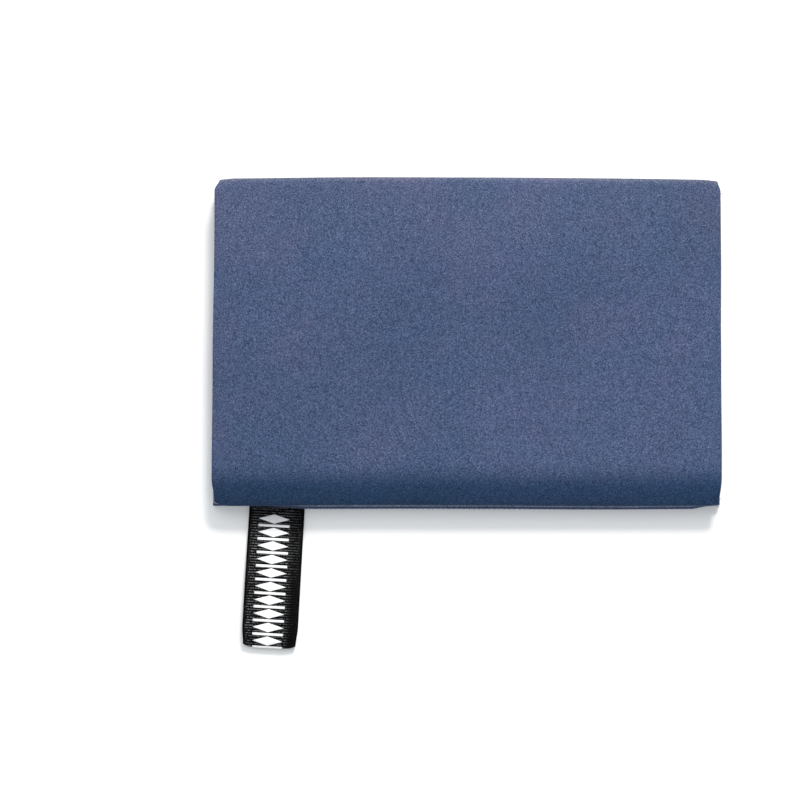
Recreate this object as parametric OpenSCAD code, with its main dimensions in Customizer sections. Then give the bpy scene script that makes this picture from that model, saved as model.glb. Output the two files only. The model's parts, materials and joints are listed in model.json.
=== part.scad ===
// Travel towel of thin microfibre cloth, folded into a flat pack, with a ribbon loop sewn to one
// corner. The cloth is folded in three across its width, which makes a strip of three layers. The
// strip is folded in three along its length into passes a, b and c, and the three passes together
// are folded in three again, into the bottom, middle and top stacks.
// +Z is up and the front, where the loop hangs out, is -Y. The origin is the centre of the
// underside. Lengths are in millimetres.

/* [Folded pack] */
// Width of the folded towel, from side fold to side fold
folded_w = 200; // [180:1:220]
// Distance between the axes of the back fold and the front fold
fold_span = 120; // [100:1:130]
// How far the bottom stack stands out in front of the front fold's axis
front_reach = 6.5; // [6.3:0.1:8]

/* [Cloth] */
// Thickness of one layer of cloth
cloth_t = 0.45; // [0.4:0.01:0.46]
// Height from one layer to the next
layer_pitch = 0.6; // [0.6:0.01:0.7]
// Width of the overlocked hem along each cut edge
hem_w = 3; // [2:0.5:5]
// How far the outer flap's hem stays in from the left side fold
outer_hem_inset = 2; // [1:0.5:10]
// How far the inner flap's hem stays in from the inside of the right side fold
inner_hem_inset = 0.3; // [0.2:0.1:5]

/* [Ribbon loop] */
// Width of the ribbon
ribbon_w = 22; // [15:1:25]
// Thickness of the ribbon
ribbon_t = 0.3; // [0.2:0.05:0.4]
// Length of the loop outside the hem
loop_len = 55; // [50:1:80]
// Height of the loop's open end
loop_h = 5; // [4.8:0.1:5.2]
// Distance of the ribbon's middle from the towel's middle
loop_offset = 75.5; // [60:0.5:80]
// Angle by which the ribbon leans outward
loop_lean = 3.2; // [0:0.1:6]
// Length of the ribbon's ends inside the hem
tail_len = 8; // [6:1:12]
// Width of the printed pattern on the ribbon
print_w = 12.4; // [8:0.1:14]
// Distance from one printed mark to the next
mark_pitch = 4.3; // [3.5:0.1:6]

/* [Hidden] */

$fn = 48;
cloth_colour = [0.33, 0.38, 0.54];
thread_colour = [0.24, 0.28, 0.42];
ribbon_colour = [0.05, 0.05, 0.06];
print_colour = [0.92, 0.92, 0.92];

// Room between two bodies where their solids end at a fold
body_gap = 0.3;
// A layer's own share of the room above and below it
layer_room = layer_pitch - cloth_t;
pass_h = 3 * layer_pitch;
stack_h = 3 * pass_h;
stack_pitch = stack_h + layer_room;
stack_z = [0, stack_pitch, 2 * stack_pitch];
back_y = fold_span / 2;
front_y = -fold_span / 2;
back_fold_z = stack_pitch - layer_room;
front_fold_z = 2 * stack_pitch - layer_room;

// The side folds of the three-layer strip
left_x = -folded_w / 2;
right_x = folded_w / 2;
left_bend_r = (layer_pitch + cloth_t) / 2;
right_bend_r = layer_pitch + cloth_t / 2;
inner_end_x = right_x - right_bend_r - inner_hem_inset;
outer_end_x = left_x + outer_hem_inset;

// The two turns where one pass runs on into the next
bottom_turn_r = 0.5 * layer_pitch - cloth_t / 2;
bottom_turn_y = front_y - front_reach + bottom_turn_r + 2 * layer_pitch + cloth_t;
bottom_turn_z = 5.5 * layer_pitch + cloth_t / 2;
bottom_end_y = front_y - front_reach;
top_turn_r = 2 * layer_pitch - cloth_t / 2;
top_turn_y = back_y + 2.4;
top_turn_z = stack_z[2] + 4 * layer_pitch + cloth_t / 2;
top_end_y = top_turn_y - 0.2;

// The ribbon loop
loop_y = bottom_end_y - body_gap / 2;
loop_z = 2 * layer_pitch + cloth_t / 2;
tail_t = cloth_t;
tack_t = 0.1;
tack_w = 1.6;
rise_len = 34;
settle_len = 16;
round_len = 8;
round_h = (loop_h - ribbon_t) / 2;
// The ribbon leans, so it starts this far out for its near corner to clear the hem
root_len = body_gap / 2 + ribbon_w / 2 * sin(loop_lean);
print_start = 3;
print_t = 0.05;
print_lift = 0.02;

// ---------- the cross-section of the three-layer strip ----------

// Half of a ring, open towards +X
module bend(r_outer) {
    intersection() {
        difference() {
            circle(r = r_outer);
            circle(r = r_outer - cloth_t);
        }
        translate([-2 * r_outer, -2 * r_outer]) square([2 * r_outer, 4 * r_outer]);
    }
}

// A length of one flat layer; level counts the layers from the main one
module layer(from_x, to_x, level) {
    translate([from_x, level * layer_pitch]) square([to_x - from_x, cloth_t]);
}

// The strip's cloth without its hems: the main layer, then the inner flap, then the outer flap
module strip_section() {
    layer(left_x + left_bend_r, right_x - right_bend_r, 0);
    layer(left_x + left_bend_r, inner_end_x - hem_w, 1);
    layer(outer_end_x + hem_w, right_x - right_bend_r, 2);
    translate([left_x + left_bend_r, left_bend_r]) bend(left_bend_r);
    translate([right_x - right_bend_r, right_bend_r]) mirror([1, 0]) bend(right_bend_r);
}

module outer_hem_section() {
    layer(outer_end_x, outer_end_x + hem_w, 2);
}

module inner_hem_section() {
    layer(inner_end_x - hem_w, inner_end_x, 1);
}

// The section as it lies, or upside down with its main layer last
module lay(main_first) {
    if (main_first) children();
    else translate([0, 2 * layer_pitch + cloth_t]) mirror([0, 1]) children();
}

// ---------- the two ways that a section is drawn out ----------

// A straight stretch of a pass from y0 to y1, in the given third of a stack
module straight(stack, third, main_first, y0, y1) {
    translate([0, y1, stack_z[stack] + third * pass_h])
        rotate([90, 0, 0])
            linear_extrude(y1 - y0) lay(main_first) children();
}

// A half turn about an axis along X; side is 1 when it bulges backward and -1 forward
module turn(axis_y, axis_z, inner_r, main_first, side) {
    translate([0, axis_y, axis_z])
        mirror([0, side > 0 ? 0 : 1, 0])
            rotate([0, 90, 0])
                rotate_extrude(angle = 180)
                    translate([inner_r, 0]) mirror([1, -1]) lay(main_first) children();
}

module back_turn(third, main_first) {
    turn(back_y, back_fold_z, layer_room + third * pass_h, main_first, 1) children();
}

module front_turn(third, main_first) {
    turn(front_y, front_fold_z, layer_room + third * pass_h, main_first, -1) children();
}

// ---------- the cloth, pass by pass ----------

// The notch in the hem and flap that holds the ribbon's ends
module tail_notch(clearance) {
    translate([
        -loop_offset - ribbon_w / 2 - clearance,
        bottom_end_y - clearance,
        2 * layer_pitch - clearance
    ])
        cube([ribbon_w + 2 * clearance, tail_len + 2 * clearance, tail_t + 2 * clearance]);
}

module bottom_pass_a() {
    color(cloth_colour)
        difference() {
            straight(0, 0, true, bottom_end_y + hem_w, back_y) strip_section();
            tail_notch(0.05);
        }
}

module bottom_pass_c() {
    color(cloth_colour) straight(0, 1, true, bottom_turn_y, back_y) strip_section();
}

module bottom_pass_b() {
    color(cloth_colour) straight(0, 2, false, bottom_turn_y, back_y) strip_section();
}

module bottom_end_turn() {
    color(cloth_colour)
        turn(bottom_turn_y, bottom_turn_z, bottom_turn_r, false, -1) strip_section();
}

module back_roll_a() {
    color(cloth_colour) back_turn(2, false) strip_section();
}

module back_roll_c() {
    color(cloth_colour) back_turn(1, false) strip_section();
}

module back_roll_b() {
    color(cloth_colour) back_turn(0, true) strip_section();
}

module middle_pass_b() {
    color(cloth_colour) straight(1, 0, true, front_y, back_y - body_gap) strip_section();
}

module middle_pass_c() {
    color(cloth_colour) straight(1, 1, false, front_y, back_y - body_gap) strip_section();
}

module middle_pass_a() {
    color(cloth_colour) straight(1, 2, false, front_y, back_y - body_gap) strip_section();
}

module front_roll_a() {
    color(cloth_colour) front_turn(0, true) strip_section();
}

module front_roll_c() {
    color(cloth_colour) front_turn(1, true) strip_section();
}

module front_roll_b() {
    color(cloth_colour) front_turn(2, false) strip_section();
}

module top_pass_a() {
    color(cloth_colour) straight(2, 0, true, front_y + body_gap, top_turn_y) strip_section();
}

module top_pass_c() {
    color(cloth_colour) straight(2, 1, true, front_y + body_gap, top_end_y - hem_w) strip_section();
}

module top_pass_b() {
    color(cloth_colour) straight(2, 2, false, front_y + body_gap, top_turn_y) strip_section();
}

module top_end_turn() {
    color(cloth_colour) turn(top_turn_y, top_turn_z, top_turn_r, false, 1) strip_section();
}

// ---------- the overlocked hems ----------

// The strip's whole section, for the hems across its two ends
module end_section() {
    strip_section();
    outer_hem_section();
    inner_hem_section();
}

module bottom_end_hem() {
    color(thread_colour)
        difference() {
            straight(0, 0, true, bottom_end_y, bottom_end_y + hem_w) end_section();
            tail_notch(0.05);
        }
}

module top_end_hem() {
    color(thread_colour) straight(2, 1, true, top_end_y - hem_w, top_end_y) end_section();
}

module bottom_hems() {
    straight(0, 0, true, bottom_end_y + hem_w, back_y) children();
    straight(0, 1, true, bottom_turn_y, back_y) children();
    straight(0, 2, false, bottom_turn_y, back_y) children();
    turn(bottom_turn_y, bottom_turn_z, bottom_turn_r, false, -1) children();
}

module middle_hems() {
    straight(1, 0, true, front_y, back_y - body_gap) children();
    straight(1, 1, false, front_y, back_y - body_gap) children();
    straight(1, 2, false, front_y, back_y - body_gap) children();
}

module top_hems() {
    straight(2, 0, true, front_y + body_gap, top_turn_y) children();
    straight(2, 1, true, front_y + body_gap, top_end_y - hem_w) children();
    straight(2, 2, false, front_y + body_gap, top_turn_y) children();
    turn(top_turn_y, top_turn_z, top_turn_r, false, 1) children();
}

module bottom_outer_hems() {
    color(thread_colour) bottom_hems() outer_hem_section();
}

module bottom_inner_hems() {
    color(thread_colour) bottom_hems() inner_hem_section();
}

module middle_outer_hems() {
    color(thread_colour) middle_hems() outer_hem_section();
}

module middle_inner_hems() {
    color(thread_colour) middle_hems() inner_hem_section();
}

module top_outer_hems() {
    color(thread_colour) top_hems() outer_hem_section();
}

module top_inner_hems() {
    color(thread_colour) top_hems() inner_hem_section();
}

module both_hem_sections() {
    outer_hem_section();
    inner_hem_section();
}

module back_roll_hems() {
    color(thread_colour) {
        back_turn(2, false) both_hem_sections();
        back_turn(1, false) both_hem_sections();
        back_turn(0, true) both_hem_sections();
    }
}

module front_roll_hems() {
    color(thread_colour) {
        front_turn(0, true) both_hem_sections();
        front_turn(1, true) both_hem_sections();
        front_turn(2, false) both_hem_sections();
    }
}

// ---------- the ribbon loop ----------

// Smooth step from 0 to 1
function ease(u) = let(v = min(max(u, 0), 1)) v * v * (3 - 2 * v);

// Height of the ribbon's lower and upper strand at distance d from the hem
function lower_z(d) =
    ribbon_t / 2 + (loop_z - ribbon_t) * (1 - ease(d / settle_len));
function upper_z(d) =
    loop_z + ribbon_t / 2 + (loop_h - loop_z - ribbon_t) * ease(d / rise_len);

// The ribbon's middle line: out along the floor, round the open end and back along the top
straight_len = loop_len - round_len;
STEP = 2;
lower_line = [for (d = [root_len : STEP : straight_len - STEP]) [d, lower_z(d)]];
round_line = [
    for (a = [-90 : 9 : 90])
        [straight_len + (round_len - ribbon_t / 2) * cos(a), loop_h / 2 + round_h * sin(a)]
];
upper_line = [for (d = [straight_len - STEP : -STEP : root_len]) [d, upper_z(d)]];
loop_line = concat(lower_line, round_line, upper_line);

// A line moved sideways by s, to the left of its direction
function unit(v) = v / norm(v);
function heading(line, i) =
    unit(line[min(i + 1, len(line) - 1)] - line[max(i - 1, 0)]);
function shifted(line, s) = [
    for (i = [0 : len(line) - 1])
        let(h = heading(line, i)) line[i] + s * [-h[1], h[0]]
];
function reversed(line) = [for (i = [len(line) - 1 : -1 : 0]) line[i]];

// Stands a side profile (distance from the hem, height) up and draws it across the ribbon
module across_ribbon(width) {
    translate([-loop_offset, loop_y, 0])
        rotate([0, 0, -loop_lean])
            translate([-width / 2, 0, 0])
                rotate([90, 0, -90])
                    mirror([0, 0, 1])
                        linear_extrude(width) children();
}

module loop_ribbon() {
    color(ribbon_colour)
        across_ribbon(ribbon_w)
            polygon(concat(
                shifted(loop_line, ribbon_t / 2),
                reversed(shifted(loop_line, -ribbon_t / 2))
            ));
}

// One printed bar on the upper strand, from d0 to d1
module printed_bar(d0, d1, width) {
    piece = [for (d = [d0, (d0 + d1) / 2, d1]) [d, upper_z(d)]];
    across_ribbon(width)
        polygon(concat(
            shifted(piece, ribbon_t / 2 + print_lift + print_t),
            reversed(shifted(piece, ribbon_t / 2 + print_lift))
        ));
}

module loop_print() {
    color(print_colour)
        for (d = [print_start : mark_pitch : straight_len - mark_pitch])
            printed_bar(d, d + mark_pitch / 2, print_w);
}

module ribbon_tails() {
    color(ribbon_colour) tail_notch(0);
}

module loop_tack() {
    color(thread_colour)
        translate([
            -loop_offset - ribbon_w / 2 + 1,
            bottom_end_y + hem_w - tack_w,
            2 * layer_pitch + tail_t
        ])
            cube([ribbon_w - 2, tack_w, tack_t]);
}

bottom_pass_a();
bottom_pass_c();
bottom_pass_b();
bottom_end_turn();
bottom_end_hem();
bottom_outer_hems();
bottom_inner_hems();
ribbon_tails();
loop_tack();
back_roll_a();
back_roll_c();
back_roll_b();
back_roll_hems();
middle_pass_b();
middle_pass_c();
middle_pass_a();
middle_outer_hems();
middle_inner_hems();
front_roll_a();
front_roll_c();
front_roll_b();
front_roll_hems();
top_pass_a();
top_pass_c();
top_pass_b();
top_end_turn();
top_end_hem();
top_outer_hems();
top_inner_hems();
loop_ribbon();
loop_print();
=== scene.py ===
"""A folded microfibre travel towel with a ribbon loop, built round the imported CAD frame.
Lengths are in metres."""
import json
import math

import bpy
import numpy as np
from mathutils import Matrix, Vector, noise


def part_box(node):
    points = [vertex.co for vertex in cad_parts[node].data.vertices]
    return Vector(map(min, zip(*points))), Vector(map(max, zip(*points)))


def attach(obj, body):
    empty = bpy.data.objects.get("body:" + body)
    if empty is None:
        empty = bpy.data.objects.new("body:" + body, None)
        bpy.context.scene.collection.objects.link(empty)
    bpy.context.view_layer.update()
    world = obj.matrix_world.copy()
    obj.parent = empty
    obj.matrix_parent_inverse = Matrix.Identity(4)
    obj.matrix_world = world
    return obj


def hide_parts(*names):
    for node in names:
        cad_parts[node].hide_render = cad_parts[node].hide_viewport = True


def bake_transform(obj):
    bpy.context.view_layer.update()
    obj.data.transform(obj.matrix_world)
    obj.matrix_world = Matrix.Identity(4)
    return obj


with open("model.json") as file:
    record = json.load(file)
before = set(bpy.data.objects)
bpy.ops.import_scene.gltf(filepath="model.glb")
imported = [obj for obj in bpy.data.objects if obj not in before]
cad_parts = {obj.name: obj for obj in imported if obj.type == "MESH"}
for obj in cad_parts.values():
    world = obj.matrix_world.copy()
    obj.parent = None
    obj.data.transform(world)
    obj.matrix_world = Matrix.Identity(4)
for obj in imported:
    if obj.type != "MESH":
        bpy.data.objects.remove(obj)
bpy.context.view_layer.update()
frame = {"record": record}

MM = 0.001

# ---------------------------------------------------------------- sizes, from the frame

JOINTS = {j["name"]: j for j in frame["record"]["behaviour"]["joints"]}


def fold_axis(joint):
    """(y, z) of the hinge that a fold turns about."""
    return JOINTS[joint]["pos_m"][1], JOINTS[joint]["pos_m"][2]


BACK_Y, BACK_Z = fold_axis("back_fold")
FRONT_Y, FRONT_Z = fold_axis("front_fold")
LOOP_Y, LOOP_Z = fold_axis("loop_swing")

LEFT_X, RIGHT_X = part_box("top_pass_b")[0][0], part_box("top_pass_b")[1][0]
LAYER_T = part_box("ribbon_tails")[1][2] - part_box("ribbon_tails")[0][2]
STACK_Z = [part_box(n)[0][2] for n in ("bottom_pass_a", "middle_pass_b", "top_pass_a")]
PASS_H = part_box("bottom_pass_c")[0][2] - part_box("bottom_pass_a")[0][2]
PITCH = PASS_H / 3
ROOM = PITCH - LAYER_T
STRIP_H = 2 * PITCH + LAYER_T
TOP_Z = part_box("top_pass_b")[1][2]

BOTTOM_END_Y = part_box("bottom_end_hem")[0][1]
TOP_END_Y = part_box("top_end_hem")[1][1]
BOTTOM_TURN_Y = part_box("bottom_end_turn")[1][1]
TOP_TURN_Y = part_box("top_end_turn")[0][1]
# Axes, as (y, z), of the turns inside the stacks: the bottom one joins b to c, the top one a to b
BOTTOM_TURN = (BOTTOM_TURN_Y, STACK_Z[0] + 5.5 * PITCH + LAYER_T / 2)
TOP_TURN = (TOP_TURN_Y, STACK_Z[2] + 4 * PITCH + LAYER_T / 2)
OUTER_END_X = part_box("top_outer_hems")[0][0]
INNER_END_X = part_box("top_inner_hems")[1][0]
HEM_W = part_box("bottom_end_hem")[1][1] - BOTTOM_END_Y

# How much a fold's soft roll is drawn out along Y, as a share of its radius: above and below
SOFT_FRONT = (2.0, 0.35)
SOFT_BACK = (0.45, 0.45)
SOFT_TOP_TURN = (0.7, 0.7)
SOFT_BOTTOM_TURN = (0.2, 0.2)
# The roll's outline between a flat bevel, 1, and a half circle, 2
ROLL_POWER = 1.8
# The cloth is drawn thinner than in CAD, so that less of it touches where the front roll closes up
CLOTH_T = 0.7 * LAYER_T

# ---------------------------------------------------------------- camera

camera = bpy.data.objects.new("camera", bpy.data.cameras.new("camera"))
bpy.context.scene.collection.objects.link(camera)
bpy.context.scene.camera = camera
CAMERA_TILT = math.radians(2.4)
CAMERA_AWAY = 1.6
FRAME_W = 315 * MM
AIM = Vector((-26.6 * MM, -22.8 * MM, TOP_Z))
SENSOR_W = 36
camera.data.sensor_width = SENSOR_W
camera.data.lens = SENSOR_W * CAMERA_AWAY / FRAME_W
camera.location = AIM + CAMERA_AWAY * Vector((0, -math.sin(CAMERA_TILT), math.cos(CAMERA_TILT)))
camera.rotation_euler = (CAMERA_TILT, 0, 0)
camera.data.clip_end = 20

# ---------------------------------------------------------------- materials


class Nodes:
    """A material's node tree, with short calls to add and join nodes."""

    def __init__(self, name):
        self.material = bpy.data.materials.new(name)
        self.material.use_nodes = True
        self.tree = self.material.node_tree
        self.shader = self.tree.nodes["Principled BSDF"]
        self.place = self.add("ShaderNodeTexCoord").outputs["Object"]

    def add(self, kind, **settings):
        node = self.tree.nodes.new(kind)
        for key, value in settings.items():
            if hasattr(node, key):
                setattr(node, key, value)
            else:
                node.inputs[key.replace("_", " ")].default_value = value
        return node

    def join(self, source, target):
        self.tree.links.new(source, target)

    def noise(self, size, detail=2.0, rough=0.5, stretch=(1, 1, 1)):
        """Noise whose features are about size metres, longer along an axis with stretch over 1."""
        scale = self.add("ShaderNodeMapping")
        scale.inputs["Scale"].default_value = [1 / s for s in stretch]
        self.join(self.place, scale.inputs["Vector"])
        node = self.add("ShaderNodeTexNoise", Scale=1 / size, Detail=detail, Roughness=rough)
        self.join(scale.outputs[0], node.inputs["Vector"])
        return node.outputs["Fac"]

    def ramp(self, value, *stops):
        """Colours at positions along a value."""
        node = self.add("ShaderNodeValToRGB")
        ramp = node.color_ramp
        while len(ramp.elements) < len(stops):
            ramp.elements.new(0.5)
        for element, (at, colour) in zip(ramp.elements, stops):
            element.position = at
            element.color = (*colour, 1)
        self.join(value, node.inputs["Fac"])
        return node.outputs["Color"]

    def mix(self, share, first, second, blend="MIX"):
        node = self.add("ShaderNodeMix", data_type="RGBA", blend_type=blend)
        for socket, value in ((0, share), (6, first), (7, second)):
            if isinstance(value, (int, float, tuple)):
                node.inputs[socket].default_value = value
            else:
                self.join(value, node.inputs[socket])
        return node.outputs[2]

    def tint(self, colour, by):
        """A colour multiplied by another."""
        return self.mix(1.0, colour, by, "MULTIPLY")

    def bump(self, height, depth, strength=1.0, onto=None):
        node = self.add("ShaderNodeBump", Distance=depth, Strength=strength)
        self.join(height, node.inputs["Height"])
        if onto is not None:
            self.join(onto, node.inputs["Normal"])
        return node.outputs["Normal"]

    def surface(self, **values):
        for key, value in values.items():
            self.shader.inputs[key.replace("_", " ")].default_value = value


def grey(v):
    return (v, v, v)


def suede_cloth():
    """Brushed microfibre: a short nap with bright fibre tips, in patches that lie differently."""
    m = Nodes("suede_cloth")
    m.surface(Roughness=0.95, Sheen_Weight=0.3, Sheen_Roughness=0.25)
    m.surface(Sheen_Tint=(1.0, 0.93, 0.88, 1), Specular_IOR_Level=0.15)
    grain = m.noise(0.5 * MM, detail=2, rough=0.75)
    tips = m.noise(0.48 * MM, detail=1, stretch=(1, 1.4, 1))
    streak = m.noise(1.8 * MM, detail=2, stretch=(1, 3, 1))
    patch = m.noise(26 * MM, detail=3, rough=0.55)
    broad = m.noise(60 * MM, detail=1)
    colour = m.ramp(
        patch,
        (0.34, (0.049, 0.077, 0.154)),
        (0.50, (0.054, 0.078, 0.155)),
        (0.66, (0.060, 0.079, 0.158)),
    )
    speckle = m.ramp(grain, (0.36, (0.40, 0.46, 0.53)), (0.64, (1.60, 1.54, 1.45)))
    colour = m.tint(colour, speckle)
    colour = m.tint(colour, m.ramp(tips, (0.56, grey(0.96)), (0.72, (1.9, 1.65, 1.3))))
    colour = m.tint(colour, m.ramp(streak, (0.3, grey(0.92)), (0.7, grey(1.08))))
    colour = m.tint(colour, m.ramp(broad, (0.35, grey(0.95)), (0.65, grey(1.05))))
    # Painted light and shade: a per-point value tints the cloth. Over the front roll it is darker
    # and bluer, as painted shade. On the back roll's upper side and towards the back of the top it
    # is lighter, as painted light. Along the lowest stack's front edge there is a painted highlight
    # line, with a painted shadow line outside it.
    painted_shading_level = m.add("ShaderNodeMapRange")
    painted_shading_level.inputs["From Min"].default_value = -1
    painted_shading_level.inputs["From Max"].default_value = 2
    painted_shading_value = m.add("ShaderNodeAttribute", attribute_name="nap_and_painted_shading").outputs["Fac"]
    m.join(painted_shading_value, painted_shading_level.inputs["Value"])
    painted_shading_tint = m.ramp(
        painted_shading_level.outputs[0],
        (0.0, (0.30, 0.49, 0.58)),
        (0.333, grey(1.0)),
        (0.413, (1.23, 1.11, 1.05)),
        (0.667, (1.85, 1.46, 1.12)),
        (1.0, (4.0, 3.3, 2.2)),
    )
    colour = m.tint(colour, painted_shading_tint)
    m.join(colour, m.shader.inputs["Base Color"])
    nap_and_painted_shading = m.bump(grain, 0.16 * MM, 0.8)
    m.join(m.bump(patch, 1.2 * MM, 0.25, onto=nap_and_painted_shading), m.shader.inputs["Normal"])
    return m.material


def hem_thread():
    """Twisted polyester overlock thread, a little greyer and lighter than the cloth."""
    m = Nodes("hem_thread")
    m.surface(Roughness=0.6, Sheen_Weight=0.15, Specular_IOR_Level=0.35)
    twist = m.noise(0.3 * MM, detail=2, stretch=(2, 1, 1))
    colour = m.ramp(twist, (0.3, (0.150, 0.160, 0.200)), (0.7, (0.260, 0.270, 0.320)))
    m.join(colour, m.shader.inputs["Base Color"])
    m.join(m.bump(twist, 0.05 * MM, 0.6), m.shader.inputs["Normal"])
    return m.material


def grosgrain():
    """Black ribbon with a painted highlight: the crest of each rib shows its warp threads as a row
    of bright dots, painted in as glints.
    """
    m = Nodes("grosgrain")
    m.surface(Roughness=0.6, Specular_IOR_Level=0.04)
    warp = m.noise(0.45 * MM, detail=1, stretch=(1, 2, 2))
    wear = m.noise(5 * MM, detail=3)
    # Painted highlight: the per-point value is 1 on each rib's crest, where bright dots stand in
    # for light glinting on the warp threads
    painted_rib_glint = m.add("ShaderNodeAttribute", attribute_name="painted_rib_glint").outputs["Fac"]
    painted_glint_colour = m.ramp(warp, (0.40, (0.008, 0.008, 0.009)), (0.58, (0.21, 0.215, 0.22)))
    colour = m.mix(painted_rib_glint, (0.001, 0.001, 0.001, 1), painted_glint_colour)
    colour = m.tint(colour, m.ramp(wear, (0.3, grey(0.7)), (0.7, grey(1.3))))
    m.join(colour, m.shader.inputs["Base Color"])
    m.join(m.bump(warp, 0.06 * MM, 0.5), m.shader.inputs["Normal"])
    return m.material


def white_print():
    """Rubbery white ink that has sunk a little into the ribs."""
    m = Nodes("white_print")
    m.surface(Roughness=0.55, Specular_IOR_Level=0.3)
    blot = m.noise(0.5 * MM, detail=3, rough=0.6)
    colour = m.ramp(blot, (0.25, (0.80, 0.81, 0.82)), (0.6, (0.95, 0.95, 0.95)))
    m.join(colour, m.shader.inputs["Base Color"])
    m.join(m.bump(blot, 0.05 * MM, 0.5), m.shader.inputs["Normal"])
    return m.material


def floor_paint():
    """A pale light table, which lifts the shadows a little."""
    m = Nodes("floor_paint")
    m.surface(Roughness=0.9, Base_Color=(0.9, 0.9, 0.9, 1), Specular_IOR_Level=0.1)
    m.surface(Emission_Color=(0.98, 1.0, 0.98, 1), Emission_Strength=0.15)
    return m.material


CLOTH = suede_cloth()
THREAD = hem_thread()
RIBBON = grosgrain()
PRINT = white_print()

# ---------------------------------------------------------------- mesh helpers

SHARP_ANGLE = math.radians(60)


def add_object(name, data):
    """A new object in the scene with that data."""
    obj = bpy.data.objects.new(name, data)
    bpy.context.scene.collection.objects.link(obj)
    return obj


def make_piece(name, points, faces, material):
    """A smooth-shaded mesh object from points and faces."""
    mesh = bpy.data.meshes.new(name)
    mesh.from_pydata([tuple(p) for p in points], [], faces)
    mesh.validate()
    mesh.shade_smooth()
    obj = add_object(name, mesh)
    mesh.materials.append(material)
    return obj


def grid_faces(rows, columns, first=0, wrap=False):
    """Quads over a grid of points, row by row; wrap joins each row's end to its start."""
    spans = columns if wrap else columns - 1
    return [
        (
            first + r * columns + c,
            first + r * columns + (c + 1) % columns,
            first + (r + 1) * columns + (c + 1) % columns,
            first + (r + 1) * columns + c,
        )
        for r in range(rows - 1)
        for c in range(spans)
    ]


def flipped(faces):
    """The same faces, looking the other way."""
    return [tuple(reversed(f)) for f in faces]


def arc(centre, radii, degrees):
    """Points round a centre, at each of the angles in degrees."""
    made = []
    for a in map(math.radians, degrees):
        made.append((centre[0] + radii[0] * math.cos(a), centre[1] + radii[1] * math.sin(a)))
    return made


def apply_modifiers(obj):
    """Writes what the object's modifiers make into its mesh."""
    bpy.context.view_layer.update()
    evaluated = obj.evaluated_get(bpy.context.evaluated_depsgraph_get())
    made = bpy.data.meshes.new_from_object(evaluated)
    obj.modifiers.clear()
    obj.data = made
    made.shade_smooth()
    made.set_sharp_from_angle(angle=SHARP_ANGLE)


def thicken(obj, thickness):
    """Turns a surface into a closed sheet of that thickness about it."""
    solid = obj.modifiers.new("thickness", "SOLIDIFY")
    solid.thickness = thickness
    solid.offset = 0
    solid.use_even_offset = True
    apply_modifiers(obj)


def spaced(low, high, step):
    """Evenly spaced values from low to high, about step apart."""
    count = max(1, round(abs(high - low) / step))
    return [low + (high - low) * i / count for i in range(count + 1)]


def smooth(t):
    """Rises gently from 0 to 1 as t does, and stays there."""
    t = min(max(t, 0.0), 1.0)
    return t * t * (3 - 2 * t)


# ---------------------------------------------------------------- how the cloth really lies


def ripple(x, y, size, seed):
    """Gentle noise from -1 to 1 with features of about size."""
    return noise.noise(Vector((x / size, y / size, seed)))


FIRST_LAYER_Z = STACK_Z[2] + LAYER_T

# Where the softening takes hold, as (start, length): along Y from a fold's axis,
FRONT_ZONE = (7 * MM, 12 * MM)
BACK_ZONE = (7 * MM, 11 * MM)
BACK_END_ZONE = (0.5 * MM, 5 * MM)
# along Z from under the middle stack, for what lies above the lowest stack,
ROLLED_ZONE = (MM, 2 * MM)
# towards the side edges, as shares of half the width,
CORNER_ZONE = (0.955, 0.045)
SIDE_ZONE = (0.93, 0.07)
# and towards the front and back edges, as shares of the back fold's Y
WAVY_ZONE = (0.6, 0.4)
# The pack's height: waves as (share, wavelength), and the shares it drops at its sides and back
BROAD_WAVE = (0.035, 70 * MM)
SMALL_WAVE = (0.02, 28 * MM)
SIDE_DROP, BACK_DROP = 0.10, 0.12
# Along X: how far layers lie beside each other, as steps up the stack and as waves
LAYER_STEP, LAYER_STEPS = 0.2 * MM, 9
LAYER_WAVE = (0.25 * MM, 60 * MM)
# the sides' swell towards the front, and their waves
SWELL, SWELL_RIGHT, SWELL_RUN = 0.8 * MM, 0.1, 2.1 * BACK_Y
SIDE_WAVE = (0.3 * MM, 35 * MM)
# and how far the rolls' ends draw in, at the back on the left and on the right
FRONT_IN = 0.9 * MM
BACK_IN = (2.0 * MM, 1.2 * MM)
# Along Y: the waves of the front and back edges, then the rest in millimetres. The back edge
# bulges, less at its ends, on its right half and at its corners
EDGE_WAVE = (0.4 * MM, 60 * MM)
BACK_OUT, BACK_BOW, BACK_SKEW, BACK_CORNER = 0.5, 0.4, 0.6, 0.5
# The front roll draws back, and more at its left and right corner
FRONT_BACK, FRONT_CORNER = 1.0, (1.3, 0.5)
# The lowest stack shows under the front roll between two places along X. It is drawn back, and
# by less where it shows
SHOWN_LEFT, SHOWN_LEFT_RUN = -82 * MM, 20 * MM
SHOWN_RIGHT, SHOWN_RIGHT_RUN = 97 * MM, 8 * MM
LOWEST_BACK, LOWEST_SHOWN = 2.2, 1.3


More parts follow.
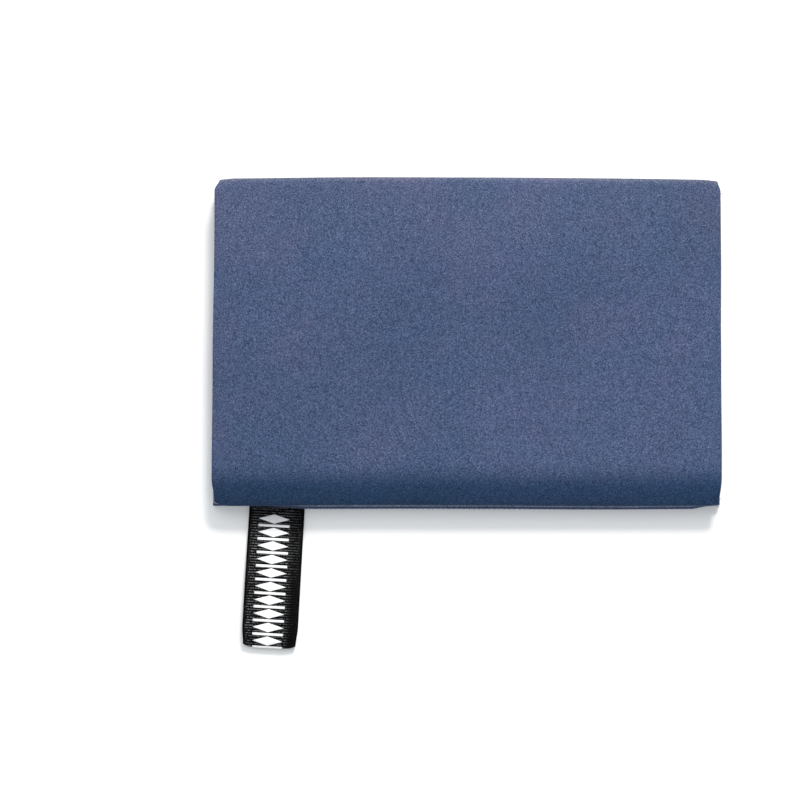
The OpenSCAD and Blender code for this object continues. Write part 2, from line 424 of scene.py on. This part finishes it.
def relax(p):
    """Where a point of the crisp fold goes in the soft one. Nothing moves in Z up to the top
    stack's first layer, and above it heights are only scaled. The ripples' heights are drawn out
    so that layers differ, and their last number is a seed."""
    x, y, z = p
    left = x < 0
    hand = 1 if x > 0 else -1
    side = abs(x) / RIGHT_X
    above = max(z - FIRST_LAYER_Z, 0.0)
    rolled = smooth((z - STACK_Z[1] + ROLLED_ZONE[0]) / ROLLED_ZONE[1])
    near_front = smooth((FRONT_Y + FRONT_ZONE[0] - y) / FRONT_ZONE[1])
    front = near_front * rolled
    back = smooth((y - BACK_Y + BACK_ZONE[0]) / BACK_ZONE[1])
    back_end = smooth((y - BACK_Y - BACK_END_ZONE[0]) / BACK_END_ZONE[1])
    corner = smooth((side - CORNER_ZONE[0]) / CORNER_ZONE[1])

    height = 1.0 + BROAD_WAVE[0] * ripple(x, y, BROAD_WAVE[1], 3.1)
    height += SMALL_WAVE[0] * ripple(x, y, SMALL_WAVE[1], 8.4)
    height -= SIDE_DROP * smooth((side - SIDE_ZONE[0]) / SIDE_ZONE[1]) + BACK_DROP * back

    shift = LAYER_STEP * math.sin(LAYER_STEPS * z / TOP_Z + 1.0)
    shift += LAYER_WAVE[0] * ripple(z * 30, y, LAYER_WAVE[1], 5.0)
    swell = SWELL * smooth((BACK_Y - y) / SWELL_RUN) * (1 if left else SWELL_RIGHT)
    outward = swell + SIDE_WAVE[0] * ripple(y, z * 25, SIDE_WAVE[1], 1.7)
    outward -= FRONT_IN * front + BACK_IN[0 if left else 1] * back_end
    x += (shift + hand * outward) * side

    near_edge = smooth((abs(y) / BACK_Y - WAVY_ZONE[0]) / WAVY_ZONE[1])
    y += EDGE_WAVE[0] * ripple(x, z * 20, EDGE_WAVE[1], 2.2) * near_edge
    bulge = BACK_OUT - BACK_BOW * side**2 - BACK_SKEW * smooth(x / RIGHT_X) - BACK_CORNER * corner
    y += bulge * MM * back
    y += (FRONT_BACK + FRONT_CORNER[0 if left else 1] * corner) * MM * front
    shown = smooth((x - SHOWN_LEFT) / SHOWN_LEFT_RUN) * smooth((SHOWN_RIGHT - x) / SHOWN_RIGHT_RUN)
    y += (LOWEST_BACK - LOWEST_SHOWN * shown) * MM * near_front * (1 - rolled)
    if above:
        z = FIRST_LAYER_Z + above * height
    return (x, y, z)


# Where painted light and shade fall, as (start, length) from a fold's axis: painted light on the
# back roll along Y and up, painted shade on the front roll, and from the front edge, a painted
# highlight line and a painted shadow line
BACK_PAINTED_LIGHT, BACK_PAINTED_LIGHT_UP = (2.2 * MM, 2.8 * MM), (3 * MM, 4 * MM)
FRONT_PAINTED_SHADE = (13.5 * MM, 12 * MM)
PAINTED_HIGHLIGHT_LINE, PAINTED_SHADOW_LINE = (2.4 * MM, 0.8 * MM), (1.15 * MM, 0.35 * MM)
# How strong the painted highlight line and the painted shadow line are
PAINTED_HIGHLIGHT_STRENGTH, PAINTED_SHADOW_STRENGTH = 2.0, 2.4
# Painted light: the top grows a little lighter towards the back, as (strength, start, length) along
# Y
TOP_PAINTED_LIGHT = (0.15, 22 * MM, 34 * MM)


def painted_shading_at(y, z, fold):
    """The cloth's painted light and shade as one value. 0 is plain, and -1 is the darkest painted
    shade, over the front roll. 1 is painted light, on the back roll's upper side, and the top is a
    little lighter towards the back. On the lowest stack's front edge, 2 is a painted highlight
    line, and -0.4 is a painted shadow line outside it."""
    back = smooth((y - BACK_Y - BACK_PAINTED_LIGHT[0]) / BACK_PAINTED_LIGHT[1])
    back *= smooth((z - BACK_Z + BACK_PAINTED_LIGHT_UP[0]) / BACK_PAINTED_LIGHT_UP[1])
    if fold == "front":
        top_painted_light = TOP_PAINTED_LIGHT[0] * smooth((y - TOP_PAINTED_LIGHT[1]) / TOP_PAINTED_LIGHT[2])
        return max(back, top_painted_light) - smooth((FRONT_Y + FRONT_PAINTED_SHADE[0] - y) / FRONT_PAINTED_SHADE[1])
    # Painted highlight line along the lowest stack's front edge, with a painted shadow line outside
    # it
    lit = smooth((BOTTOM_END_Y + PAINTED_HIGHLIGHT_LINE[0] - y) / PAINTED_HIGHLIGHT_LINE[1])
    shaded = smooth((BOTTOM_END_Y + PAINTED_SHADOW_LINE[0] - y) / PAINTED_SHADOW_LINE[1])
    return back + PAINTED_HIGHLIGHT_STRENGTH * lit - PAINTED_SHADOW_STRENGTH * shaded


# ---------------------------------------------------------------- the strip and its path


def strip_outline(step):
    """The three-layer strip's middle line as (x, height), from the inner flap's cut edge to the
    outer flap's."""
    left_r, right_r = PITCH / 2, PITCH
    left = LEFT_X + left_r + LAYER_T / 2
    right = RIGHT_X - right_r - LAYER_T / 2
    base = LAYER_T / 2
    inner = [(x, base + PITCH) for x in spaced(INNER_END_X, left, step)[:-1]]
    left_bend = arc((left, base + left_r), (left_r, left_r), range(90, 271, 30))
    main = [(x, base) for x in spaced(left, right, step)[1:-1]]
    right_bend = arc((right, base + right_r), (right_r, right_r), range(-90, 91, 20))
    outer = [(x, base + 2 * PITCH) for x in spaced(right, OUTER_END_X, step)[1:]]
    return inner + left_bend + main + right_bend + outer


class Station:
    """One cross-section of the strip, with heights measured from an origin along a direction in YZ.
    main_first says that the strip's main layer is the one nearest the origin."""

    def __init__(self, origin, direction, base, main_first):
        self.origin, self.direction = origin, direction
        self.base, self.main_first = base, main_first

    def place(self, x, height):
        h = self.base + (height if self.main_first else STRIP_H - height)
        return (x, self.origin[0] + h * self.direction[0], self.origin[1] + h * self.direction[1])


def straight(stack, third, main_first, y0, y1, step):
    """A flat run in one stack, at one of the stack's three passes, from y0 to y1."""
    z = STACK_Z[stack] + third * PASS_H
    return [Station((y, z), (0, 1), 0, main_first) for y in spaced(y0, y1, step)]


def turn(axis, inner_r, main_first, side, soft, up, steps):
    """A half turn; side is 1 backward and -1 forward, and up says that it runs from below."""
    made = []
    for i in range(steps + 1):
        a = math.pi * (i / steps if up else 1 - i / steps)
        drawn = soft[1] if a < math.pi / 2 else soft[0]
        out = (1 + drawn) * abs(math.sin(a)) ** (2 / ROLL_POWER) - drawn
        high = -math.copysign(abs(math.cos(a)) ** (2 / ROLL_POWER), math.cos(a))
        made.append(Station(axis, (side * out, high), inner_r, main_first))
    return made


def back_turn(third, main_first, up, steps=18):
    """The back roll's turn, at one of its three passes counted from the inside."""
    axis = (BACK_Y, BACK_Z)
    return turn(axis, ROOM + third * PASS_H, main_first, 1, SOFT_BACK, up, steps)


def front_turn(third, main_first, up, steps=24):
    """The front roll's turn, counted in the same way."""
    axis = (FRONT_Y, FRONT_Z)
    return turn(axis, ROOM + third * PASS_H, main_first, -1, SOFT_FRONT, up, steps)


# Where straight stretches stop, clear of the drawn-out rolls and turns
NEAR_BACK = BACK_Y - 4 * MM
NEAR_FRONT = FRONT_Y + 12.5 * MM
NEAR_BOTTOM_TURN = BOTTOM_TURN_Y + 1 * MM
NEAR_TOP_TURN = TOP_TURN_Y - 3 * MM
# Where stretches meet, and how far the cloth's short edges lie inside their hems
MIDDLE_Y = 0.0
TOP_MEET_Y = NEAR_TOP_TURN - 4 * MM
CUT_IN = 0.3 * MM
# Grid steps along the cloth and across it
COARSE = 5 * MM
FINE = 2.5 * MM
# Each roll's inner radius at its three passes
INNER_R = ROOM
MIDDLE_R = ROOM + PASS_H
OUTER_R = ROOM + 2 * PASS_H


def cloth_stations():
    """The cloth's six stretches: name, stations, fold, the roll's inner radius, grid step."""
    bottom_r, top_r = PITCH / 2 - LAYER_T / 2, 2 * PITCH - LAYER_T / 2
    bottom_turn = turn(BOTTOM_TURN, bottom_r, False, -1, SOFT_BOTTOM_TURN, False, 20)
    top_turn = turn(TOP_TURN, top_r, False, 1, SOFT_TOP_TURN, True, 18)
    a_lower = (
        straight(0, 0, True, BOTTOM_END_Y + CUT_IN, NEAR_BACK, COARSE)
        + back_turn(2, False, True)
        + straight(1, 2, False, NEAR_BACK, MIDDLE_Y, COARSE)
    )
    a_upper = (
        straight(1, 2, False, MIDDLE_Y, NEAR_FRONT, COARSE)
        + front_turn(0, True, True)
        + straight(2, 0, True, NEAR_FRONT, NEAR_TOP_TURN, COARSE)
        + top_turn
        + straight(2, 2, False, NEAR_TOP_TURN, TOP_MEET_Y, FINE)
    )
    b_upper = (
        straight(2, 2, False, TOP_MEET_Y, NEAR_FRONT, FINE)
        + front_turn(2, False, False, 30)
        + straight(1, 0, True, NEAR_FRONT, MIDDLE_Y, COARSE)
    )
    b_lower = (
        straight(1, 0, True, MIDDLE_Y, NEAR_BACK, COARSE)
        + back_turn(0, True, False)
        + straight(0, 2, False, NEAR_BACK, NEAR_BOTTOM_TURN, COARSE)
        + bottom_turn
    )
    c_lower = (
        straight(0, 1, True, BOTTOM_TURN_Y, NEAR_BACK, COARSE)
        + back_turn(1, False, True)
        + straight(1, 1, False, NEAR_BACK, MIDDLE_Y, COARSE)
    )
    c_upper = (
        straight(1, 1, False, MIDDLE_Y, NEAR_FRONT, COARSE)
        + front_turn(1, True, True)
        + straight(2, 1, True, NEAR_FRONT, TOP_END_Y - CUT_IN, COARSE)
    )
    return [
        ("cloth_a_lower", a_lower, "back", OUTER_R, COARSE),
        ("cloth_a_upper", a_upper, "front", INNER_R, COARSE),
        ("cloth_b_upper", b_upper, "front", OUTER_R, FINE),
        ("cloth_b_lower", b_lower, "back", INNER_R, COARSE),
        ("cloth_c_lower", c_lower, "back", MIDDLE_R, COARSE),
        ("cloth_c_upper", c_upper, "front", MIDDLE_R, COARSE),
    ]


# The CAD nodes that each piece stands for
REPLACED = {
    "cloth_a_lower": ["bottom_pass_a", "back_roll_a"],
    "cloth_a_upper": ["middle_pass_a", "front_roll_a", "top_pass_a", "top_end_turn"],
    "cloth_b_upper": ["top_pass_b", "front_roll_b"],
    "cloth_b_lower": ["middle_pass_b", "back_roll_b", "bottom_pass_b", "bottom_end_turn"],
    "cloth_c_lower": ["bottom_pass_c", "back_roll_c", "middle_pass_c"],
    "cloth_c_upper": ["front_roll_c", "top_pass_c"],
    "hem_a_lower": ["bottom_outer_hems", "back_roll_hems"],
    "hem_a_upper": ["middle_outer_hems", "front_roll_hems"],
    "hem_b_upper": ["top_outer_hems"],
    "hem_b_lower": ["bottom_inner_hems"],
    "hem_c_lower": ["middle_inner_hems"],
    "hem_c_upper": ["top_inner_hems"],
}


def bend_with_fold(obj):
    """Writes the piece's placement into its mesh."""
    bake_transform(obj)


def path_length(points):
    return sum(math.dist(a, b) for a, b in zip(points, points[1:]))


# ---------------------------------------------------------------- overlocked hems

STITCH_PITCH = 2.0 * MM
STITCH_SLANT = STITCH_PITCH * 0.6
STITCH_W = HEM_W * 0.9
THREAD_R = 0.075 * MM
THREAD_SIDES = 5
# How far the thread's middle lies off the cloth's face
THREAD_LIFT = THREAD_R * 0.4
# A stitch from inside the edge on one face, round the edge, to the other face: how far in, as a
# share of its width, and how high, as a share of the way from the cloth's middle
STITCH_PATH = (
    (1, 0.7),
    (0.8, 1),
    (0.4, 1),
    (0.06, 0.95),
    (-0.05, 0),
    (0.06, -0.95),
    (0.4, -1),
    (0.8, -1),
    (1, -0.7),
)
# The step inward that finds a face's normal, and the shortest span that can hold a stitch
NORMAL_STEP = 0.1 * MM
SHORTEST = 1e-7
# How far the short edges' hems lie in from the box's edge and from the strip's side folds
END_HEM_IN = 0.1 * MM
SIDE_FOLD_IN = 1 * MM


def add_thread(points, faces, line, radius=THREAD_R):
    """Adds a thin tube along a line to a mesh's points and faces."""
    path = [Vector(p) for p in line]
    first = len(points)
    for i, p in enumerate(path):
        along = (path[min(i + 1, len(path) - 1)] - path[max(i - 1, 0)]).normalized()
        side = along.orthogonal().normalized()
        if i:
            side = (last_side - along * last_side.dot(along)).normalized()
        last_side = side
        up = along.cross(side)
        for k in range(THREAD_SIDES):
            a = 2 * math.pi * k / THREAD_SIDES
            points.append(p + radius * (math.cos(a) * side + math.sin(a) * up))
    end = len(points) - THREAD_SIDES
    faces += grid_faces(len(path), THREAD_SIDES, first, wrap=True)
    faces.append(tuple(first + k for k in reversed(range(THREAD_SIDES))))
    faces.append(tuple(end + k for k in range(THREAD_SIDES)))


def laid(p):
    """Where a point of the thread lies in the soft fold, kept above the floor."""
    x, y, z = relax(p)
    return (x, y, max(z, THREAD_R))


def add_stitch(points, faces, at, inward, along, normal):
    """Adds one overlock thread over a cut edge to a mesh's points and faces."""
    lift = CLOTH_T / 2 + THREAD_LIFT
    line = []
    for share, height in STITCH_PATH:
        p = at + inward * STITCH_W * share + along * STITCH_SLANT * share
        line.append(laid(p + normal * lift * height))
    add_thread(points, faces, line)


def add_long_hem(points, faces, stations, edge_x, height, inward_x):
    """Adds the overlock along one long edge of the strip."""
    line = [Vector(s.place(edge_x, height)) for s in stations]
    inner = [Vector(s.place(edge_x, height + NORMAL_STEP)) for s in stations]
    travelled, due = 0.0, 0.5 * STITCH_PITCH
    inward = Vector((inward_x, 0, 0))
    for (a, b), (c, d) in zip(zip(line, line[1:]), zip(inner, inner[1:])):
        span = (b - a).length
        while span > SHORTEST and due <= travelled + span:
            share = (due - travelled) / span
            at = a.lerp(b, share)
            along = (b - a).normalized()
            normal = (c.lerp(d, share) - at).normalized()
            add_stitch(points, faces, at, inward, along, normal)
            due += STITCH_PITCH
        travelled += span


def short_hem(y, first_z, inward_y):
    """Points and faces of the overlock along a short edge, on the strip's three layers."""
    points, faces = [], []
    inward, along, normal = Vector((0, inward_y, 0)), Vector((1, 0, 0)), Vector((0, 0, 1))
    base = LAYER_T / 2
    rows = (
        (LEFT_X + SIDE_FOLD_IN, RIGHT_X - SIDE_FOLD_IN, base),
        (LEFT_X + SIDE_FOLD_IN, INNER_END_X, base + PITCH),
        (OUTER_END_X, RIGHT_X - SIDE_FOLD_IN, base + 2 * PITCH),
    )
    for low, high, height in rows:
        for x in spaced(low, high, STITCH_PITCH):
            add_stitch(points, faces, Vector((x, y, first_z + height)), inward, along, normal)
    return points, faces


# ---------------------------------------------------------------- the cloth and its hems


def build_cloth():
    """The towel's one cloth, in six stretches that meet inside the stack, with their hems."""
    for name, stations, fold, radius, step in cloth_stations():
        outline = strip_outline(step)
        points = [relax(s.place(x, h)) for s in stations for x, h in outline]
        faces = grid_faces(len(stations), len(outline))
        cloth = make_piece(name, points, faces, CLOTH)
        # The cloth's painted light and shade at each point
        painted_shading_level = [painted_shading_at(*s.place(x, h)[1:], fold) for s in stations for x, h in outline]
        cloth.data.attributes.new("nap_and_painted_shading", "FLOAT", "POINT").data.foreach_set("value", painted_shading_level)
        thicken(cloth, CLOTH_T)
        bend_with_fold(cloth)
        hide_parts(*REPLACED[name])

        points, faces = [], []
        add_long_hem(points, faces, stations, OUTER_END_X, LAYER_T / 2 + 2 * PITCH, 1)
        add_long_hem(points, faces, stations, INNER_END_X, LAYER_T / 2 + PITCH, -1)
        hem_name = name.replace("cloth", "hem")
        hem = make_piece(hem_name, points, faces, THREAD)
        bend_with_fold(hem)
        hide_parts(*REPLACED[hem_name])

        flat = (path_length(outline), path_length([s.place(0, STRIP_H / 2) for s in stations]))


def build_end_hems():
    """The overlock on the cloth's two short edges, one at the front and one inside the top turn."""
    ends = (
        ("front", "bottom_stack", "bottom_end_hem", BOTTOM_END_Y + END_HEM_IN, STACK_Z[0], 1),
        ("inside", "top_stack", "top_end_hem", TOP_END_Y - END_HEM_IN, STACK_Z[2] + PASS_H, -1),
    )
    for where, body, node, y, first_z, inward_y in ends:
        points, faces = short_hem(y, first_z, inward_y)
        hem = make_piece("end_hem_" + where, points, faces, THREAD)
        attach(hem, body)
        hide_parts(node)


# ---------------------------------------------------------------- the ribbon loop

RIBBON_LOW, RIBBON_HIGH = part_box("loop_ribbon")
TAIL_LOW, TAIL_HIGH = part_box("ribbon_tails")
RIBBON_W = TAIL_HIGH[0] - TAIL_LOW[0]
RIBBON_X = (TAIL_HIGH[0] + TAIL_LOW[0]) / 2
RIBBON_T = 0.3 * MM
LOOP_H = RIBBON_HIGH[2] - RIBBON_LOW[2]
# Drawn 1 mm shorter than in CAD, which suits the loop's outline better
LOOP_LEN = 54 * MM
# The loop's lean to the left, then how its two strands lie in the hem
LEAN = math.radians(3.2)
SEAM_Z = (TAIL_HIGH[2] + TAIL_LOW[2]) / 2
SEAM_OFF = RIBBON_T * 0.6
TAIL_IN = 6.5 * MM
# How far out the upper strand has risen and the lower one has settled, and how long the end is
RISE = 34 * MM
SETTLE = 16 * MM
ROUND = 8 * MM
# The ribs, and the flat woven edges: columns across the ribbon and how many are an edge's, then the
# edge's relief as a share of a rib's, how thin its rim is, and the brightness of its painted glint
RIB_PITCH = 1.05 * MM
RIB_H = 0.12 * MM
RIB_STEPS = 8
COLUMNS = 29
EDGE_COLUMNS = 2
EDGE_RELIEF, EDGE_THIN, EDGE_PAINTED_GLINT = 0.4, 0.55, 0.02
# How sharply each rib's painted highlight narrows to its crest
PAINTED_GLINT_POWER = 6
# The end pinches in by a share of its width and rounds its corners, over a reach from the end
END_REACH = 9 * MM
END_PINCH = 0.05
END_ROUND, END_POWER = 1.1 * MM, 6
# Painted shade: the right side shows fewer of the ribs' painted glints. Given here are the share
# taken away, how much more of it further out, and where that grows, as (start, length) out from the
# hem and across from the middle
GLINT_SHADED, MORE_GLINT_SHADED = 0.6, 0.35
GLINT_SHADED_ALONG = (12 * MM, 20 * MM)
GLINT_SHADED_ACROSS = (5 * MM, 3 * MM)


def ribbon_side_view():
    """The ribbon's middle line as (distance out from the hem, height), as a closed loop's two
    strands with their ends in the hem."""
    straight_end = LOOP_LEN - ROUND
    low_seam, high_seam = SEAM_Z - SEAM_OFF, SEAM_Z + SEAM_OFF
    low, high = RIBBON_T / 2 + RIB_H / 2, LOOP_H - RIBBON_T / 2 - RIB_H / 2
    reach, half = ROUND - RIBBON_T / 2, (high - low) / 2
    line = []
    for d in spaced(-TAIL_IN, straight_end, MM):
        line.append((d, low + (low_seam - low) * (1 - smooth(d / SETTLE))))
    line += arc((straight_end, low + half), (reach, half), range(-84, 85, 6))
    for d in spaced(straight_end, -TAIL_IN, MM):
        line.append((d, high_seam + (high - high_seam) * smooth(d / RISE)))
    return line


def resampled(line, step):
    """Distances along a line, every step, and the point and the direction at each."""
    points = np.array(line)
    lengths = np.concatenate([[0], np.cumsum(np.linalg.norm(np.diff(points, axis=0), axis=1))])
    at = np.arange(0, lengths[-1], step)
    place = np.stack([np.interp(at, lengths, points[:, k]) for k in (0, 1)], axis=1)
    heading = np.gradient(place, axis=0)
    heading /= np.linalg.norm(heading, axis=1, keepdims=True)
    return at, place, heading


def ribbon_point(d, z, across):
    """A point of the loop: d out from the hem, z up, across from the ribbon's middle line."""
    x = RIBBON_X + across * math.cos(LEAN) - d * math.sin(LEAN)
    y = LOOP_Y - across * math.sin(LEAN) - d * math.cos(LEAN)
    return (x, y, z)


def ribbon_form(d, across):
    """The ribbon's own softness: its end pinches in, and the end's corners are round."""
    end = smooth((d - LOOP_LEN + END_REACH) / END_REACH)
    corner = (abs(across) / (RIBBON_W / 2)) ** END_POWER
    return across * (1 - END_PINCH * end), d - END_ROUND * end * corner


def painted_glint_shaded(d, across):
    """The share of the ribs' painted glint that painted shade takes away at a place on the ribbon.
    """
    further_out = smooth((d - GLINT_SHADED_ALONG[0]) / GLINT_SHADED_ALONG[1])
    to_the_right = smooth((across - GLINT_SHADED_ACROSS[0]) / GLINT_SHADED_ACROSS[1])
    return (GLINT_SHADED + MORE_GLINT_SHADED * further_out) * to_the_right


def build_ribbon():
    """Grosgrain: ribs across the ribbon as real relief, with flat woven edges."""
    at, place, heading = resampled(ribbon_side_view(), RIB_PITCH / RIB_STEPS)
    across = [RIBBON_W * (k / (COLUMNS - 1) - 0.5) for k in range(COLUMNS)]
    points, painted_rib_glints = [], []
    for face_side in (1, -1):
        for s, (d, z), (hd, hz) in zip(at, place, heading):
            rib = 0.5 + 0.5 * math.cos(2 * math.pi * s / RIB_PITCH)
            for k, w in enumerate(across):
                from_edge = min(k, COLUMNS - 1 - k)
                ribbed = from_edge >= EDGE_COLUMNS
                relief = RIB_H * (rib if ribbed else EDGE_RELIEF)
                off = face_side * (RIBBON_T / 2 - RIB_H / 2 + relief / 2)
                if from_edge == 0:
                    off *= EDGE_THIN
                w2, d2 = ribbon_form(d - hz * off, w)
                points.append(ribbon_point(d2, z + hd * off, w2))
                # Painted highlight on each rib's crest, with less of it on the right side as
                # painted shade, and a faint one on the flat edges
                painted_glint = rib**PAINTED_GLINT_POWER * (1 - painted_glint_shaded(d, w))
                painted_rib_glints.append(painted_glint if ribbed else EDGE_PAINTED_GLINT)
    rows = len(at)
    other = rows * COLUMNS
    faces = flipped(grid_faces(rows, COLUMNS)) + grid_faces(rows, COLUMNS, other)
    for r in range(rows - 1):
        for c in (0, COLUMNS - 1):
            a, b = r * COLUMNS + c, (r + 1) * COLUMNS + c
            quad = (a, b, b + other, a + other)
            faces.append(quad if c else tuple(reversed(quad)))
    for r in (0, rows - 1):
        for c in range(COLUMNS - 1):
            a = r * COLUMNS + c
            quad = (a, a + 1, a + 1 + other, a + other)
            faces.append(tuple(reversed(quad)) if r else quad)
    ribbon = make_piece("loop_band", points, faces, RIBBON)
    ribbon.data.attributes.new("painted_rib_glint", "FLOAT", "POINT").data.foreach_set("value", painted_rib_glints)
    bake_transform(ribbon)
    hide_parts("loop_ribbon", "ribbon_tails")
    length = path_length(list(map(tuple, place)))
    return ribbon, length


def diamond(start, length, width, rows):
    """Half-widths along a diamond, as (distance, half-width)."""
    line = []
    for i in range(rows + 1):
        line.append((start + length * i / rows, width / 2 * (1 - abs(2 * i / rows - 1))))
    return line


def bar(start, length, width, rows):
    """The same along a bar."""
    return [(start + length * i / rows, width / 2) for i in range(rows + 1)]


PRINT_W = 12.4 * MM
PRINT_T = 0.05 * MM
# How far the row's middle lies from the ribbon's, and where it starts and stops out from the hem
PRINT_OFFSET = -0.8 * MM
PRINT_FROM, PRINT_TO = 1.0 * MM, LOOP_LEN + 1.5 * MM
# One diamond and one bar to each motif. TIP_HALF is half a diamond's width at its tips
MOTIF = 5.4 * MM
DIAMOND_LEN, DIAMOND_ROWS = 3.7 * MM, 12
BAR_AT, BAR_LEN, BAR_ROWS = 4.05 * MM, 1.0 * MM, 4
TIP_HALF = 0.15 * MM
PRINT_COLUMNS = 9
PATH_STEP = 0.1 * MM


def build_print():
    """A plain row of diamonds and bars, printed on the ribbon's upper side."""
    at, place, heading = resampled(list(reversed(ribbon_side_view())), PATH_STEP)
    start = TAIL_IN + PRINT_FROM
    shapes = []
    while start + MOTIF < TAIL_IN + PRINT_TO:
        shapes.append(diamond(start, DIAMOND_LEN, PRINT_W, DIAMOND_ROWS))
        shapes.append(bar(start + BAR_AT, BAR_LEN, PRINT_W, BAR_ROWS))
        start += MOTIF
    points, faces = [], []
    columns = PRINT_COLUMNS
    for shape in shapes:
        rows = len(shape)
        first = len(points)
        under = first + rows * columns
        for face_off in (RIBBON_T / 2 + PRINT_T, RIBBON_T / 2 - PRINT_T):
            for s, half in shape:
                d, z = (np.interp(s, at, place[:, k]) for k in (0, 1))
                hd, hz = (np.interp(s, at, heading[:, k]) for k in (0, 1))
                half = max(half, TIP_HALF)
                for k in range(columns):
                    across = PRINT_OFFSET + half * (2 * k / (columns - 1) - 1)
                    w, d2 = ribbon_form(d - hz * face_off, across)
                    points.append(ribbon_point(d2, z + hd * face_off, w))
        faces += flipped(grid_faces(rows, columns, first)) + grid_faces(rows, columns, under)
        rim = [first + c for c in range(columns)]
        rim += [first + r * columns + columns - 1 for r in range(1, rows)]
        rim += [first + (rows - 1) * columns + c for c in reversed(range(columns - 1))]
        rim += [first + r * columns for r in reversed(range(1, rows - 1))]
        drop = rows * columns
        for a, b in zip(rim, rim[1:] + rim[:1]):
            faces.append((b + drop, a + drop, a, b))
    marks = make_piece("loop_marks", points, faces, PRINT)
    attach(marks, "loop")
    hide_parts("loop_print")
    return marks


TACK_R = THREAD_R * 0.8
TACK_PITCH = 0.5 * MM
# How far the tack stitches lie over the tails, and how far down their ends reach
TACK_UP = 0.02 * MM
TACK_DOWN = 0.1 * MM


def build_tack():
    """The close stitches that hold the ribbon's ends in the hem."""
    points, faces = [], []
    near, far = BOTTOM_END_Y + 1.0 * MM, BOTTOM_END_Y + 3.0 * MM
    z = TAIL_HIGH[2] + TACK_UP
    for i, x in enumerate(spaced(TAIL_LOW[0] + MM, TAIL_HIGH[0] - MM, TACK_PITCH)):
        y0, y1 = (near, far) if i % 2 else (far, near)
        x1 = x + TACK_PITCH / 2
        line = [(x, y0, z - TACK_DOWN), (x, y0, z), (x1, y1, z), (x1, y1, z - TACK_DOWN)]
        add_thread(points, faces, line, TACK_R)
    tack = make_piece("tack_stitches", points, faces, THREAD)
    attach(tack, "bottom_stack")
    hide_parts("loop_tack")


# ---------------------------------------------------------------- floor and light


def build_floor():
    """A wide flat floor."""
    half = 4.0
    corners = [(-half, -half, 0), (half, -half, 0), (half, half, 0), (-half, half, 0)]
    mesh = bpy.data.meshes.new("floor")
    mesh.from_pydata(corners, [], [(0, 1, 2, 3)])
    mesh.materials.append(floor_paint())
    add_object("floor", mesh)


def soft_light(name, place, size, power, colour):
    """A square soft box that faces the towel."""
    light = bpy.data.lights.new(name, "AREA")
    light.size = size
    light.energy = power
    light.color = colour
    lamp = add_object(name, light)
    lamp.location = place
    lamp.rotation_euler = (-Vector(place)).to_track_quat("-Z", "Y").to_euler()


def build_light():
    """Three soft boxes and a pale sky."""
    soft_light("key", (0.3, 1.3, 1.4), 0.5, 36, (1.0, 0.99, 0.97))
    soft_light("top", (-0.2, 0.6, 1.8), 1.0, 10, (1.0, 1.0, 1.0))
    soft_light("fill", (0.0, -1.4, 0.35), 0.8, 6, (1.0, 1.0, 1.0))
    world = bpy.data.worlds.new("studio")
    world.use_nodes = True
    world.node_tree.nodes["Background"].inputs["Color"].default_value = (0.88, 0.94, 1.0, 1)
    world.node_tree.nodes["Background"].inputs["Strength"].default_value = 0.38
    bpy.context.scene.world = world
    bpy.context.scene.view_settings.view_transform = "Standard"


build_floor()
build_cloth()
build_end_hems()
ribbon, ribbon_len = build_ribbon()
marks = build_print()
build_tack()
build_light()
